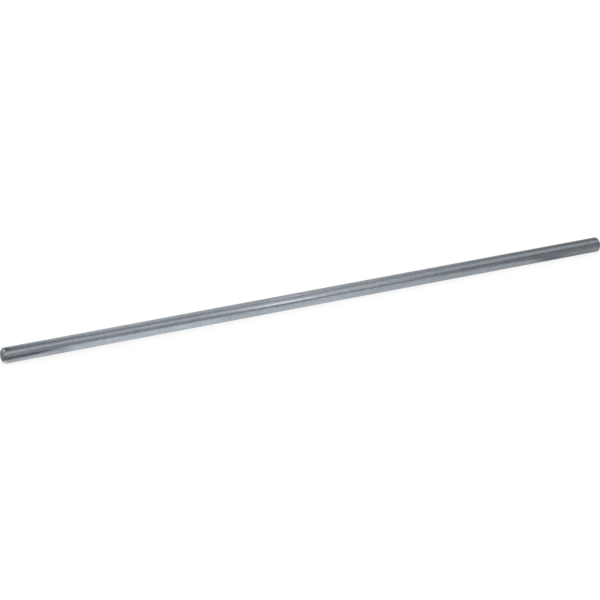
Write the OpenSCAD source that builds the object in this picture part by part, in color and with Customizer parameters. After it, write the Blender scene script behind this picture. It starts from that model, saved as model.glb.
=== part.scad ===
// Switch shaft extension: one solid round steel bar, chamfered at both ends, that carries the turn of a
// door handle back to the spindle of a switch set deep in its cabinet. The bar lies along X, centred on the
// origin. The switch end is at -X and the handle end at +X, and the two ends are alike.

/* [Bar] */
// Diameter of the round bar
bar_d = 12; // [8:0.5:20]
// Length of the bar over its two end faces
bar_l = 535; // [150:5:1000]

/* [Ends] */
// Width of each chamfer, measured along the radius
chamfer_w = 1.5; // [0.5:0.1:2.5]
// Angle between each chamfer and the bar's axis
chamfer_angle = 45; // [30:1:60]
// Radius that deburring leaves on both edges of each chamfer
edge_r = 0.3; // [0.1:0.05:0.5]

/* [Hidden] */

// Segments of a full circle, a multiple of 8 so that an arc ends on a vertex at 0, 45 and 90 degrees
$fn = 96;

steel = [0.58, 0.61, 0.65];

bar_r = bar_d / 2;
half_l = bar_l / 2;
chamfer_l = chamfer_w / tan(chamfer_angle);

// A round on a corner meets each of its two sides this far from the corner
barrel_setback = edge_r * tan(chamfer_angle / 2);
face_setback = edge_r * tan((90 - chamfer_angle) / 2);

// The straight barrel stops this far short of the end face, and the flat on that face has this radius
barrel_stop = chamfer_l + barrel_setback;
flat_r = bar_r - chamfer_w - face_setback;

// The chamfer runs from its foot on the barrel to its top on the face, as [radius, height] with height 0
// on the face. Between its two rounds it lies a hair inside them, so that it always meets both.
lap = 0.0001;
up_chamfer = [-sin(chamfer_angle), cos(chamfer_angle)];
off_chamfer = [cos(chamfer_angle), sin(chamfer_angle)];
chamfer_foot = [bar_r, -chamfer_l] + barrel_setback * up_chamfer - lap * off_chamfer;
chamfer_top = [bar_r - chamfer_w, 0] - face_setback * up_chamfer - lap * off_chamfer;

// Section of one half of the bar, radius along X: drawn with its end face on Y = 0, then moved out to
// the bar's end. Each round is a true arc, from a circle that touches both sides of its corner.
module half_section() {
    translate([0, half_l]) {
        polygon([
            [0, -half_l],
            [bar_r, -half_l],
            [bar_r, -barrel_stop],
            chamfer_foot,
            chamfer_top,
            [flat_r, 0],
            [0, 0]
        ]);
        translate([bar_r - edge_r, -barrel_stop]) circle(r = edge_r);
        translate([flat_r, -edge_r]) circle(r = edge_r);
    }
}

// The bar is one turned piece, so it is one revolve of that section and its mirror image
module shaft() {
    color(steel)
        rotate([0, 90, 0])
            rotate_extrude() {
                half_section();
                mirror([0, 1]) half_section();
            }
}

shaft();
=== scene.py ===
# %% [markdown]
# # A switch shaft extension
# One round steel bar, 12 mm thick and a little over half a metre long, with a chamfer turned on each end.
# It joins the handle on a cabinet's door to a switch deep inside. The bar is bright drawn and zinc plated,
# so nearly all that there is to see is its finish and what it mirrors. The lesson builds the bar first,
# then the plating, then the white studio that gives the plating its long light and dark bands.

# %% Load the frame
import math

import bpy
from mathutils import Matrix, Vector


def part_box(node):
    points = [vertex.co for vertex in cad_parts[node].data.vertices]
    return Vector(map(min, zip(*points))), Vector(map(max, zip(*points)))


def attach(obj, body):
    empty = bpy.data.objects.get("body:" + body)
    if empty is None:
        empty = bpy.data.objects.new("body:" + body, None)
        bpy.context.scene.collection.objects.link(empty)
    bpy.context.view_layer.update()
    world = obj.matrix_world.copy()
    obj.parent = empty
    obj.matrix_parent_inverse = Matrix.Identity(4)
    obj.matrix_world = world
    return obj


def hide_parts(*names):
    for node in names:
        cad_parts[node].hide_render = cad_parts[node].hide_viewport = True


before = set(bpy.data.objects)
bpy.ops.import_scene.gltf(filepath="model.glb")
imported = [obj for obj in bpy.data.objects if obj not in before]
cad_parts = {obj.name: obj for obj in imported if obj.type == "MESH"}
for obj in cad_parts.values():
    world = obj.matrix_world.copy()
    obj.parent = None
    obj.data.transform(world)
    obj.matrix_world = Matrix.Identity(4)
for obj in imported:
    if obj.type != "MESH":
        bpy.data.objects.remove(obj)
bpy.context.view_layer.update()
scene = bpy.context.scene
MM = 0.001

# %% [markdown]
# ## Sizes
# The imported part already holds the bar's true length and diameter, so they are read from its box and not
# typed again. Only what a box can't tell is named here: the chamfer, and the small round that deburring
# leaves on its two edges.

# %% Sizes of the bar
low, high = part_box("shaft")
BAR_L = high.x - low.x
BAR_R = (high.z - low.z) / 2
CHAMFER_W = 1.5 * MM
CHAMFER_L = 1.5 * MM
EDGE_R = 0.3 * MM
FACE_R = BAR_R - CHAMFER_W
print(f"bar {BAR_L / MM:.1f} mm long, {2 * BAR_R / MM:.2f} mm in diameter, faces {2 * FACE_R / MM:.2f} mm")

# %% [markdown]
# ## Sums on sockets
# Both the bar and its finish are made of nodes. A node tree drawn by hand is easy to see and slow to
# change, and a tree written as one call after another is hard to read. So one small class wraps a socket:
# Python's own operators add the Math nodes, and every other node comes from a single method, `node`.


# %% The Wire class
class Wire:
    """One socket of a node tree. Sums on it add Math nodes, and node() adds any other kind."""

    def __init__(self, tree, socket=None):
        self.tree, self.socket = tree, socket

    def node(self, kind, settings=None, inputs=None, out=0):
        """Adds a node: its settings are set first, then the value or the link of each socket."""
        made = self.tree.nodes.new(kind)
        for name, value in (settings or {}).items():
            setattr(made, name, value)
        for name, value in (inputs or {}).items():
            if isinstance(value, Wire):
                self.tree.links.new(value.socket, made.inputs[name])
            else:
                made.inputs[name].default_value = value
        return Wire(self.tree, made.outputs[out] if len(made.outputs) else None)

    def output(self, name):
        """Another output of the node that this socket belongs to."""
        return Wire(self.tree, self.socket.node.outputs[name])

    def sum(self, operation, *values):
        return self.node("ShaderNodeMath", {"operation": operation}, dict(enumerate(values)))

    def __add__(self, other):
        return self.sum("ADD", self, other)

    def __sub__(self, other):
        return self.sum("SUBTRACT", self, other)

    def __rsub__(self, other):
        return self.sum("SUBTRACT", other, self)

    def __mul__(self, other):
        return self.sum("MULTIPLY", self, other)

    def __truediv__(self, other):
        return self.sum("DIVIDE", self, other)

    def __pow__(self, other):
        return self.sum("POWER", self, other)

    def __rpow__(self, other):
        return self.sum("POWER", other, self)

    def __neg__(self):
        return self * -1.0

    def __abs__(self):
        return self.sum("ABSOLUTE", self)

    __radd__, __rmul__ = __add__, __mul__

    def least(self, other):
        return self.sum("MINIMUM", self, other)

    def most(self, other):
        return self.sum("MAXIMUM", self, other)

    def step(self, start, end):
        """0 before start, 1 after end, and a smooth climb between them."""
        settings = {"interpolation_type": "SMOOTHSTEP"}
        return self.node("ShaderNodeMapRange", settings, {0: self, 1: start, 2: end})

    def hill(self, centre, width):
        """1 at centre, falling away to both sides like a bell."""
        return math.e ** -(((self - centre) / width) ** 2.0)

    def towards(self, goal, share):
        """This value, moved towards a goal by this share of the way."""
        return self + (goal - self) * share

    def split(self):
        """The three parts of a vector."""
        parts = self.node("ShaderNodeSeparateXYZ", inputs={0: self})
        return [parts.output(letter) for letter in "XYZ"]


def mix_colour(factor, first, second):
    """Colours go through a Mix node, because a Math node would turn them grey."""
    return factor.node("ShaderNodeMix", {"data_type": "RGBA"}, {0: factor, 6: first, 7: second}, out=2)


# %% [markdown]
# ## The bar
# The real bar is cut from a drawn length, and each end is chamfered on a lathe and then deburred. Anything
# turned has a rule for its shape: a radius for each place along the axis. It could be spun from an outline
# by hand, but Geometry Nodes keep the rule itself. The outline has six corners. Counted from the nearer end
# they are 0, the middle of the face, 1, the rim of the face, and 2, the foot of the chamfer, and the other
# end repeats them. A fillet rounds corners 1 and 2, and then the outline's height becomes the radius of a
# tube.

# %% The inputs of the tree that turns the bar
CORNERS = 6


def turned_bar_inputs(tree):
    """Adds the tree's named inputs, and returns a wire from each."""
    for name in ("Length", "Radius", "Chamfer Width", "Chamfer Length", "Edge Radius", "Ring Spacing"):
        tree.interface.new_socket(name, in_out="INPUT", socket_type="NodeSocketFloat")
    for name in ("Edge Steps", "Most Rings", "Sides"):
        tree.interface.new_socket(name, in_out="INPUT", socket_type="NodeSocketInt")
    tree.interface.new_socket("Finish", in_out="INPUT", socket_type="NodeSocketMaterial")
    tree.interface.new_socket("Geometry", in_out="OUTPUT", socket_type="NodeSocketGeometry")
    asked = tree.nodes.new("NodeGroupInput")
    return {socket.name: Wire(tree, socket) for socket in asked.outputs if socket.name}


# %% The outline, from the middle of one face to the middle of the other
def bar_outline(start, ask):
    """A curve above the axis, with rounded edges and points close enough together to spin."""
    index = start.node("GeometryNodeInputIndex")
    corner = index.least(CORNERS - 1 - index)
    side = start.sum("SIGN", index - (CORNERS - 1) / 2)
    on_rim, on_barrel = corner.least(1.0), (corner - 1.0).most(0.0)
    along = side * (ask["Length"] / 2 - ask["Chamfer Length"] * on_barrel)
    radius = (ask["Radius"] - ask["Chamfer Width"]) * on_rim + ask["Chamfer Width"] * on_barrel
    place = start.node("ShaderNodeCombineXYZ", inputs={0: along, 1: radius})
    line = start.node("GeometryNodeMeshLine", inputs={"Count": CORNERS})
    outline = start.node("GeometryNodeMeshToCurve", inputs={"Mesh": line})
    outline = start.node("GeometryNodeSetPosition", inputs={"Geometry": outline, "Position": place})

    rounding = {"Curve": outline, "Count": ask["Edge Steps"], "Radius": ask["Edge Radius"]}
    outline = start.node("GeometryNodeFilletCurve", {"mode": "POLY"}, rounding)
    run = start.node("GeometryNodeSplineParameter", out="Length")
    next_run = start.node("GeometryNodeFieldAtIndex", inputs={"Index": index + 1.0, "Value": run})
    cuts = ((next_run - run) / ask["Ring Spacing"]).least(ask["Most Rings"])
    return start.node("GeometryNodeSubdivideCurve", inputs={"Curve": outline, "Cuts": cuts})


# %% The whole tree: the outline's height turns into the radius of a tube round the axis
MERGE_WITHIN = 0.001 * MM


def turned_bar_tree():
    tree = bpy.data.node_groups.new("turned_bar", "GeometryNodeTree")
    ask = turned_bar_inputs(tree)
    start = Wire(tree)
    outline = bar_outline(start, ask)
    here_x, here_y, _ = start.node("GeometryNodeInputPosition").split()
    radii = {"Curve": outline, "Radius": here_y}
    outline = start.node("GeometryNodeSetCurveRadius", inputs=radii)
    on_axis = start.node("ShaderNodeCombineXYZ", inputs={0: here_x})
    outline = start.node("GeometryNodeSetPosition", inputs={"Geometry": outline, "Position": on_axis})
    unit_circle = {"Resolution": ask["Sides"], "Radius": 1.0}
    ring = start.node("GeometryNodeCurvePrimitiveCircle", inputs=unit_circle)
    grown = start.node("GeometryNodeInputRadius")
    spun = {"Curve": outline, "Profile Curve": ring, "Scale": grown}
    skin = start.node("GeometryNodeCurveToMesh", inputs=spun)

    # The rings of no radius at the two poles close to one point each
    merged = {"Geometry": skin, "Distance": MERGE_WITHIN}
    skin = start.node("GeometryNodeMergeByDistance", inputs=merged)
    skin = start.node("GeometryNodeRealizeInstances", inputs={"Geometry": skin})
    skin = start.node("GeometryNodeSetMaterial", inputs={"Geometry": skin, "Material": ask["Finish"]})
    result = tree.nodes.new("NodeGroupOutput")
    tree.links.new(skin.socket, result.inputs[0])
    print("the turning tree has", len(tree.nodes), "nodes")
    return tree


# %% Run a tree and keep a plain mesh
def made_by(tree, name, asked):
    """Runs a geometry tree with these inputs and returns an object that holds its plain mesh."""
    seed = bpy.data.objects.new(name + "_seed", bpy.data.meshes.new(name + "_seed"))
    scene.collection.objects.link(seed)
    modifier = seed.modifiers.new("made", "NODES")
    modifier.node_group = tree
    for socket in tree.interface.items_tree:
        if socket.in_out == "INPUT":
            modifier[socket.identifier] = asked[socket.name]
    evaluated = seed.evaluated_get(bpy.context.evaluated_depsgraph_get())
    mesh = bpy.data.meshes.new_from_object(evaluated)
    seed.modifiers.remove(modifier)
    bpy.data.objects.remove(seed)
    mesh.name = name
    piece = bpy.data.objects.new(name, mesh)
    scene.collection.objects.link(piece)
    return piece


# %% Turn the bar
zinc_plate = bpy.data.materials.new("bright_zinc_plate")
zinc_plate.use_nodes = True
bar = made_by(
    turned_bar_tree(),
    "steel_bar",
    {
        "Length": BAR_L,
        "Radius": BAR_R,
        "Chamfer Width": CHAMFER_W,
        "Chamfer Length": CHAMFER_L,
        "Edge Radius": EDGE_R,
        "Ring Spacing": 0.6 * MM,
        "Edge Steps": 6,
        "Most Rings": 100,
        "Sides": 128,
        "Finish": zinc_plate,
    },
)
bar.data.shade_smooth()
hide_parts("shaft")
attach(bar, "root")
print("the bar has", len(bar.data.polygons), "faces")

# %% [markdown]
# ## The plating
# Drawing a bar through a die leaves fine lines along it, and zinc plating covers them with a thin bluish
# grey film that has soft clouds, tiny crystals and a few pits. Lathe work leaves rings on the faces and
# chamfers. Handling rubs the edges bright and leaves scratches. All of this could be painted, but a painted
# skin shows its pixels up close, so each mark is a sum on the place of the point: along the bar, out from
# its axis, and round it. All lengths in these sums are in millimetres.

# %% Where a point is on the bar
zinc_plate.node_tree.nodes.clear()
steel = Wire(zinc_plate.node_tree)
place = steel.node("ShaderNodeTexCoord", out="Object")
along, y, z = [part / MM for part in place.split()]
reach = (y**2.0 + z**2.0) ** 0.5
round_the_bar = steel.sum("ARCTAN2", z, y) * (BAR_R / MM)
from_end = BAR_L / 2 / MM - abs(along)


# %% Noise that is stretched along the bar
def stretched(per_mm_along, per_mm_across):
    """The point's place, squeezed so that a pattern has this many cells per millimetre each way."""
    scale = (per_mm_along / MM, per_mm_across / MM, per_mm_across / MM)
    return steel.node("ShaderNodeVectorMath", {"operation": "MULTIPLY"}, {0: place, 1: scale})


def cloud(per_mm_along, per_mm_across, detail=2.0, twist=0.0):
    """Soft noise, from 0 to 1."""
    noise = {"Vector": stretched(per_mm_along, per_mm_across), "Scale": 1.0, "Detail": detail}
    return steel.node("ShaderNodeTexNoise", inputs={**noise, "Distortion": twist})


# %% Marks of the die and of the plating bath
hair_lines = cloud(0.02, 7.0, detail=1.0)
fine_lines = cloud(0.012, 2.4, detail=3.0)
broad_lines = cloud(0.006, 0.55, detail=2.0)
streaks = cloud(0.022, 0.42, detail=3.0)
bloom = cloud(0.07, 0.16, detail=4.0, twist=0.6)
mottle = cloud(0.35, 0.6, detail=3.0)
crystals = cloud(2.2, 2.8, detail=1.0)
print("the plating has", len(zinc_plate.node_tree.nodes), "nodes so far")

# %% Pits
PIT_R = 0.5
PIT_CELLS_PER_MM = 0.28
PIT_SHARE = 0.27
pit_cells = {"Vector": stretched(PIT_CELLS_PER_MM, PIT_CELLS_PER_MM), "Scale": 1.0}
to_pit = steel.node("ShaderNodeTexVoronoi", inputs=pit_cells)
pit_lot = to_pit.output("Color").split()[0]
has_pit = pit_lot.step(1 - PIT_SHARE - 0.01, 1 - PIT_SHARE + 0.01)
pit_r_in_cells = PIT_R * PIT_CELLS_PER_MM
pits = (1 - to_pit.step(pit_r_in_cells * 0.3, pit_r_in_cells)) * has_pit
print(f"pits up to {2 * PIT_R} mm wide, in {PIT_SHARE:.0%} of cells {1 / PIT_CELLS_PER_MM:.1f} mm wide")


# %% Scratches, each a long thin cell of a pattern laid round the bar
def scratches_at(lean, per_mm_long, per_mm_wide, share):
    """Straight scratches that lean this many degrees from the axis, in this share of the cells."""
    turn = math.radians(lean)
    long_way = along * math.cos(turn) + round_the_bar * math.sin(turn)
    wide_way = round_the_bar * math.cos(turn) - along * math.sin(turn)
    squeezed = {0: long_way * per_mm_long, 1: wide_way * per_mm_wide}
    spot = steel.node("ShaderNodeCombineXYZ", inputs=squeezed)
    flat_cells = {"voronoi_dimensions": "2D"}
    to_scratch = steel.node("ShaderNodeTexVoronoi", flat_cells, {"Vector": spot, "Scale": 1.0})
    lot = to_scratch.output("Color").split()[0]
    return (1 - to_scratch.step(0.02, 0.06)) * (1 - lot.step(share, share + 0.01))


long_scratches = scratches_at(lean=7, per_mm_long=0.012, per_mm_wide=0.8, share=0.3)
slant_scratches = scratches_at(lean=-16, per_mm_long=0.02, per_mm_wide=0.9, share=0.25)
cross_scratches = scratches_at(lean=58, per_mm_long=0.05, per_mm_wide=1.1, share=0.08)
print("with its scratches the plating has", len(zinc_plate.node_tree.nodes), "nodes")

# %% [markdown]
# The ends are where a hand can find the maker's work. The cut face shows turning rings round a small pip
# left at the centre. It is duller than the barrel and blotchy, because plating takes unevenly on a cut. The
# two edges of each chamfer are found by how far a point is from the circle where the edge runs.

# %% Marks of the lathe on the ends
RING_PITCH = 0.22
RING_WANDER = 0.15
PIP_R = 0.35
in_face_rim = 1 - reach.step(FACE_R / MM - 0.1, FACE_R / MM + 0.05)
on_face = (1 - from_end.step(0.0, 0.05)) * in_face_rim
on_chamfer = (1 - from_end.step(CHAMFER_L / MM - 0.1, CHAMFER_L / MM + 0.05)) * (1 - on_face)
uneven_feed = cloud(0.5, 0.5, detail=1.0)
rings = steel.sum("SINE", (reach + uneven_feed * RING_WANDER) * (2 * math.pi / RING_PITCH))
pip = 1 - reach.step(PIP_R * 0.5, PIP_R)
blotches = cloud(0.7, 0.7, detail=4.0, twist=0.3).step(0.34, 0.66)
scratches = long_scratches.most(slant_scratches).most(cross_scratches) * (1 - on_face)
print(f"turning rings every {RING_PITCH} mm, round a pip {2 * PIP_R} mm wide")


# %% Edges that handling has rubbed
def near_edge(edge_from_end, edge_reach, width):
    """1 on the circle of an edge, and 0 beyond this width from it."""
    gap = ((from_end - edge_from_end) ** 2.0 + (reach - edge_reach) ** 2.0) ** 0.5
    return 1 - gap.step(0.0, width)


RUBBED_WIDTH = 0.55
face_rim = near_edge(0.0, FACE_R / MM, RUBBED_WIDTH)
chamfer_foot = near_edge(CHAMFER_L / MM, BAR_R / MM, RUBBED_WIDTH)
worn = face_rim.most(chamfer_foot) * (0.35 + 0.9 * cloud(0.6, 0.9, detail=2.0)).least(1.0)
print(f"edges rubbed bright over {RUBBED_WIDTH} mm to each side")

# %% Colour of the plating
DULL_ZINC = (0.370, 0.414, 0.460, 1.0)
BRIGHT_ZINC = (0.534, 0.582, 0.630, 1.0)
CUT_ZINC = (0.245, 0.268, 0.290, 1.0)
CUT_ZINC_THICK = (0.460, 0.490, 0.515, 1.0)
RUBBED_ZINC = (0.640, 0.665, 0.690, 1.0)
PIT_ZINC = (0.200, 0.212, 0.225, 1.0)
SOFT_EDGED = (0.3, 0.7)
shade = 0.25 * bloom.step(*SOFT_EDGED) + 0.2 * streaks.step(*SOFT_EDGED)
shade = shade + 0.1 * hair_lines.step(*SOFT_EDGED)
shade = shade + 0.45 * mottle.step(0.33, 0.67)
colour = mix_colour(shade, DULL_ZINC, BRIGHT_ZINC)
colour = mix_colour(on_face * 0.9, colour, mix_colour(blotches, CUT_ZINC, CUT_ZINC_THICK))
colour = mix_colour(worn * 0.7, colour, RUBBED_ZINC)
colour = mix_colour(scratches * 0.35, colour, RUBBED_ZINC)
colour = mix_colour(pits * 0.7, colour, PIT_ZINC)

# %% Roughness of the plating
SMOOTHEST = 0.12
roughness = SMOOTHEST + 0.06 * bloom + 0.04 * fine_lines + 0.02 * hair_lines + 0.1 * pits
roughness = roughness + (0.11 + 0.1 * blotches) * on_face + 0.05 * on_chamfer
roughness = (roughness - 0.05 * worn - 0.03 * scratches).most(SMOOTHEST)

# %% Relief of the plating: the weights below are heights in units of RELIEF
RELIEF = 0.02 * MM
barrel_relief = 0.16 * hair_lines + 0.75 * fine_lines + 1.2 * broad_lines + 1.2 * streaks + 0.05 * crystals
lathe_relief = (0.04 + 0.08 * on_face) * rings + 0.4 * pip * on_face + 0.2 * mottle
relief = barrel_relief.towards(lathe_relief, on_face.most(on_chamfer)) - 0.8 * pits - 0.35 * scratches
normal = steel.node("ShaderNodeBump", inputs={"Strength": 1.0, "Distance": RELIEF, "Height": relief})

# %% The finished plating
plating = {"Base Color": colour, "Metallic": 1.0, "Roughness": roughness, "Normal": normal}
plated = steel.node("ShaderNodeBsdfPrincipled", inputs=plating)
steel.node("ShaderNodeOutputMaterial", inputs={"Surface": plated})
print("the plating has", len(zinc_plate.node_tree.nodes), "nodes")

# %% [markdown]
# ## The studio
# A polished bar has almost no look of its own: it shows the room. A studio for metalware is hung with pale
# panels that have dark gaps between them, and the gaps give the bar its crisp lines. Lamps could do this,
# but each would also add light and shadow. So the world shows plain white to the camera and plain even
# light to anything matt, and only mirror rays see the panels. A ray is placed by two numbers. Its angle is
# counted round the bar's axis: 0 is level in front, 90 is overhead and 180 is level behind. Its lean is how
# much of it runs along the bar: seen from the camera, 0.35 is mirrored at the near end and 0.56 at the far
# end.

# %% Where a ray is heading
world = bpy.data.worlds.new("studio")
scene.world = world
world.use_nodes = True
world.node_tree.nodes.clear()
world.cycles.sampling_method = "NONE"
room = Wire(world.node_tree)
lean, towards_back, upward = room.node("ShaderNodeTexCoord", out="Generated").split()
angle = room.sum("ARCTAN2", upward, -towards_back) * math.degrees(1.0)


def panel(level, at, width, starts=None, ends=None, about=None):
    """A soft panel of light, or a gap of less light where its level is below 0.

    at and width are its angle and half its width, in degrees. starts and ends are where it grows and
    fades with the ray's lean, and about is the middle and half the width of a short panel.
    """
    share = 1.0 if starts is None else lean.step(*starts)
    if ends is not None:
        share = share - lean.step(*ends)
    if about is not None:
        share = lean.hill(*about)
    return level * share * angle.hill(at, width)


# %% The panels over the whole bar, as mirrored from the camera's side
ROOM_GREY = 0.41
far_half = lean.step(0.485, 0.535)
strip = panel(0.35 + 0.06 * far_half, at=51 + 24 * far_half, width=15 + 12 * far_half)
middle = panel(0.15, at=36, width=37, starts=(0.405, 0.445), ends=(0.490, 0.512))
middle = middle + panel(0.07, at=70, width=60, about=(0.490, 0.018))
top_glow = panel(0.09, at=108, width=34, starts=(0.445, 0.462), ends=(0.492, 0.506))
print("the studio has", len(world.node_tree.nodes), "nodes so far")

# %% The gap and the glow over the near end
near_gap = panel(-0.56, at=113, width=25, starts=(0.18, 0.26), ends=(0.357, 0.364))
near_glow = panel(0.24, at=113, width=25, about=(0.372, 0.012))
near_panels = near_gap + near_glow

# %% The room past the lamps, towards the far end
far_fall = -0.16 * lean.step(0.490, 0.512) - 0.05 * lean.step(0.515, 0.555)
far_gap = panel(-0.19, at=31, width=22, starts=(0.496, 0.505))
far_gap = far_gap + panel(0.15, at=28, width=20, starts=(0.512, 0.538))
far_rim = panel(0.14, at=166, width=30, starts=(0.480, 0.500))
far_rim = far_rim - panel(0.09, at=113, width=22, starts=(0.496, 0.514))
far_horizon = panel(0.08, at=4, width=18, starts=(0.494, 0.512))
far_panels = far_fall + far_gap + far_rim + far_horizon

# %% The wall behind the bar
back_wall = 0.05 + 0.60 * lean.step(0.358, 0.366) - 0.47 * lean.step(0.374, 0.402)
back_wall = back_wall - 0.15 * lean.step(0.490, 0.545) + 0.06 * lean.hill(0.447, 0.015)
back_wall = back_wall * angle.step(90, 112)

# %% The panels for every other side
OTHER_SIDES = (0.18, 0.26)
back_strip = panel(0.3, at=129, width=17, ends=OTHER_SIDES)
overhead_gap = panel(-0.2, at=90, width=17, ends=OTHER_SIDES)
end_strip = panel(0.22, at=62, width=22, ends=(-0.72, -0.55))
mirrored = ROOM_GREY + strip + middle + top_glow + near_panels + far_panels + back_wall
mirrored = (mirrored + back_strip + overhead_gap + end_strip).most(0.0)

# %% What each kind of ray sees
WHITE = (1.0, 1.0, 1.0, 1.0)
mirror_ray = room.node("ShaderNodeLightPath", out="Is Glossy Ray")
even_light = room.node("ShaderNodeBackground", inputs={"Color": WHITE, "Strength": 1.0})
panels = room.node("ShaderNodeBackground", inputs={"Color": WHITE, "Strength": mirrored})
room_light = room.node("ShaderNodeMixShader", inputs={0: mirror_ray, 1: even_light, 2: panels})
room.node("ShaderNodeOutputWorld", inputs={"Surface": room_light})
print("the studio has", len(world.node_tree.nodes), "nodes")

# %% [markdown]
# ## The floor
# The floor is a wide pale sheet on a table. It could be a plane with white paint, but then the bar's lower
# half would mirror an even white, and a real sheet is never lit evenly. So mirror rays see the sheet's own
# light: bright under the near half, mostly fading in steps towards the far end, and grey beyond the sheet's
# edges, where the table starts. A painted shadow darkens that light in a thin line under the bar. Two
# darker patches of that light by the near end, one round and one filling a corner, make the dark band
# there. Two dark patches by the near end stand in for a round block and a low cover, and make the dark band
# there. A small spot of light picks out the lower side of the chamfer. The camera sees white paper, with
# some plain matt white mixed in to keep the bar's soft shadow.

# %% The light of the sheet
pale_floor = bpy.data.materials.new("pale_floor")
pale_floor.use_nodes = True
pale_floor.node_tree.nodes.clear()
pale_floor.cycles.emission_sampling = "NONE"
paper = Wire(pale_floor.node_tree)
floor_x, floor_y, _ = paper.node("ShaderNodeTexCoord", out="Object").split()
near_part = 1 - floor_x.step(-0.219, -0.207)
far_part = floor_x.step(0.12, 0.22)
sheet = 0.9 - 0.18 * near_part + 0.13 * floor_x.hill(-0.243, 0.009)
# How far the light drops, or rises where that is below 0, and where along the bar it starts and ends
DROPS = (
    (0.12, -0.095, -0.075),
    (-0.04, -0.055, -0.03),
    (0.12, 0.015, 0.06),
    (0.10, 0.06, 0.16),
    (0.30, 0.196, 0.218),
    (-0.14, 0.218, 0.25),
)
for drop, start, end in DROPS:
    sheet = sheet - drop * floor_x.step(start, end)

# %% The table beyond the sheet's front and back edges
TABLE = 0.42
front_edge = -0.0735 + 0.0435 * far_part + 0.0515 * near_part
edge_width = 0.0645 - 0.0445 * far_part - 0.0485 * near_part
past_front = ((floor_y - front_edge) / edge_width).step(0.0, 1.0)
on_sheet = past_front * (1 - floor_y.step(0.10, 0.17))
floor_light = (TABLE - 0.12 * far_part).towards(sheet, on_sheet)

# %% The painted shadow under the bar, and the darker patches of light by its near end
DARK_PATCH = 0.18
ROUND_PATCH_X, ROUND_PATCH_Y = -0.2455, -0.0335
# Painted shadow: the sheet's light is darker in a thin line under the bar, as if the bar shaded it, and
# more so towards the far end
painted_shadow_under_bar = 1 - abs(floor_y).step(0.001, 0.006)
floor_light = floor_light * (1 - (0.22 + 0.14 * far_part) * painted_shadow_under_bar)
# Two darker patches of the sheet's light by the near end, one round and one filling a corner, make the dark
# band there
from_round_patch = ((floor_x - ROUND_PATCH_X) ** 2.0 + (floor_y - ROUND_PATCH_Y) ** 2.0) ** 0.5
floor_light = floor_light.towards(DARK_PATCH, 1 - from_round_patch.step(0.020, 0.028))
in_corner_patch = (1 - floor_x.step(-0.262, -0.247)) * (1 - floor_y.step(-0.012, -0.006))
floor_light = floor_light.towards(DARK_PATCH, in_corner_patch)
past_near_end = 1 - floor_x.step(-0.2715, -0.2675)
bare_table = 0.22 + 0.24 * floor_y.step(0.006, 0.022)
floor_light = floor_light.towards(bare_table, past_near_end)

# %% The spot of light that the lower side of the near chamfer mirrors
BRIGHT_SPOT = 1.0
SPOT_X, SPOT_Y = -0.2682, -0.0022
from_spot = ((floor_x - SPOT_X) ** 2.0 + (floor_y - SPOT_Y) ** 2.0) ** 0.5
floor_light = floor_light.towards(BRIGHT_SPOT, 1 - from_spot.step(0.0012, 0.0036))
print("the floor's light takes", len(pale_floor.node_tree.nodes), "nodes")

# %% What each kind of ray sees on the floor
SHADOW_SHARE = 0.2
PAPER_WHITE = 1.04
BRIGHTEST = 1.1
MATT_WHITE = (0.9, 0.9, 0.9, 1.0)
camera_ray = paper.node("ShaderNodeLightPath", out="Is Camera Ray")
mirror_ray = camera_ray.output("Is Glossy Ray")
matt = paper.node("ShaderNodeBsdfDiffuse", inputs={"Color": MATT_WHITE})
white = paper.node("ShaderNodeEmission", inputs={"Color": WHITE, "Strength": PAPER_WHITE})
unlit = paper.node("ShaderNodeEmission", inputs={"Color": WHITE, "Strength": 0.0})
lit = paper.node("ShaderNodeEmission", inputs={"Color": WHITE, "Strength": BRIGHTEST})
glow = paper.node("ShaderNodeMixShader", inputs={0: floor_light / BRIGHTEST, 1: unlit, 2: lit})
seen_white = camera_ray * (1 - SHADOW_SHARE)
plain_sheet = paper.node("ShaderNodeMixShader", inputs={0: seen_white, 1: matt, 2: white})
floor_look = paper.node("ShaderNodeMixShader", inputs={0: mirror_ray, 1: plain_sheet, 2: glow})
paper.node("ShaderNodeOutputMaterial", inputs={"Surface": floor_look})
print("the floor's finish has", len(pale_floor.node_tree.nodes), "nodes")

# %% Lay the floor
HALF_FLOOR = 4.0
CORNER_SIGNS = ((-1, -1), (1, -1), (1, 1), (-1, 1))
floor_corners = [(right * HALF_FLOOR, back * HALF_FLOOR, low.z) for right, back in CORNER_SIGNS]
floor_mesh = bpy.data.meshes.new("floor")
floor_mesh.from_pydata(floor_corners, [], [(0, 1, 2, 3)])
floor_mesh.materials.append(pale_floor)
floor = bpy.data.objects.new("floor", floor_mesh)
scene.collection.objects.link(floor)
print(f"the bar lies on the floor at {low.z / MM:.2f} mm")

# %% [markdown]
# ## Three small lamps
# The even light would leave the bar looking flat in the middle. Three small soft lamps stand close to it,
# two in front and one overhead. The far panels can't draw the ends of a highlight, because the plating
# blurs them over a long stretch of the bar, but a near lamp's reflection starts and stops within a few
# centimetres. The lamps could be bright, but then they would light everything else, so they are weak and
# show only in the bar.

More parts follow.
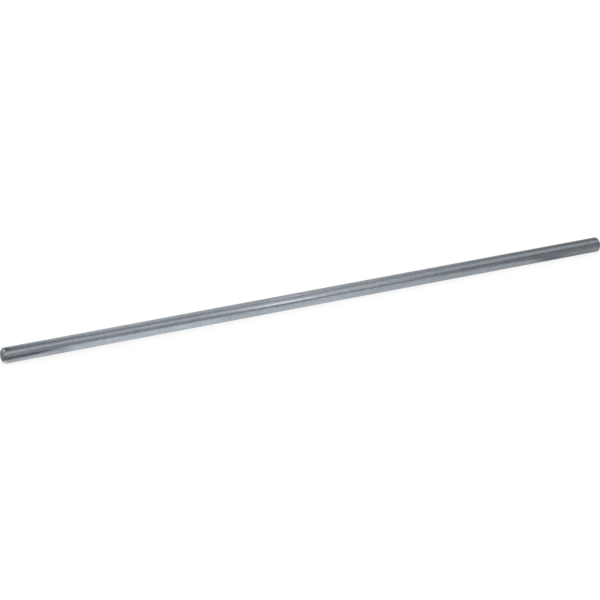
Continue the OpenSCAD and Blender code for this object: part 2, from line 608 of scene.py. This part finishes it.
# %% The lamps
LAMP_AIM = Vector((-0.04, 0.0, 0.0))
LAMP_DISTANCE = 0.35
WARM_WHITE = (1.0, 0.94, 0.88)


def hand_lamp(name, around, sideways, width, height, energy):
    """A soft lamp at an angle round the bar, 0 in front and 90 above. sideways is its lean to the right."""
    lamp_data = bpy.data.lights.new(name, "AREA")
    lamp_data.shape = "RECTANGLE"
    lamp_data.size, lamp_data.size_y = width, height
    lamp_data.energy = energy
    lamp_data.color = WARM_WHITE
    lamp = bpy.data.objects.new(name, lamp_data)
    turn = math.radians(around)
    outward = math.sqrt(1 - sideways**2)
    away = Vector((sideways, -outward * math.cos(turn), outward * math.sin(turn)))
    lamp.location = LAMP_AIM + away * LAMP_DISTANCE
    lamp.rotation_euler = away.to_track_quat("Z", "Y").to_euler()
    lamp.visible_camera = False
    scene.collection.objects.link(lamp)
    print(name, "stands at", [round(v, 3) for v in lamp.location])


hand_lamp("front_lamp", around=30, sideways=0.457, width=0.05, height=0.14, energy=0.0292)
hand_lamp("side_lamp", around=32, sideways=0.651, width=0.068, height=0.14, energy=0.0078)
hand_lamp("top_lamp", around=101, sideways=0.468, width=0.06, height=0.062, energy=0.0086)

# %% [markdown]
# ## The camera
# The bar is long and thin, so a long lens from well back keeps its two ends nearly the same thickness. A
# wide lens would swell the near end. The camera stands to the near end's side and looks down a little.

# %% The camera
AZIMUTH = math.radians(-29.08)
ELEVATION = math.radians(19.77)
DISTANCE = 1.878
LENS_MM = 144
AIM = Vector((-0.0171, 0.0, 0.00004))
towards_camera = Vector(
    (
        math.sin(AZIMUTH) * math.cos(ELEVATION),
        -math.cos(AZIMUTH) * math.cos(ELEVATION),
        math.sin(ELEVATION),
    )
)
camera_data = bpy.data.cameras.new("camera")
camera_data.lens = LENS_MM
camera = bpy.data.objects.new("camera", camera_data)
camera.location = AIM + towards_camera * DISTANCE
camera.rotation_euler = (-towards_camera).to_track_quat("-Z", "Y").to_euler()
scene.collection.objects.link(camera)
scene.camera = camera
scene.view_settings.view_transform = "Standard"
print("the camera stands at", [round(v, 3) for v in camera.location])
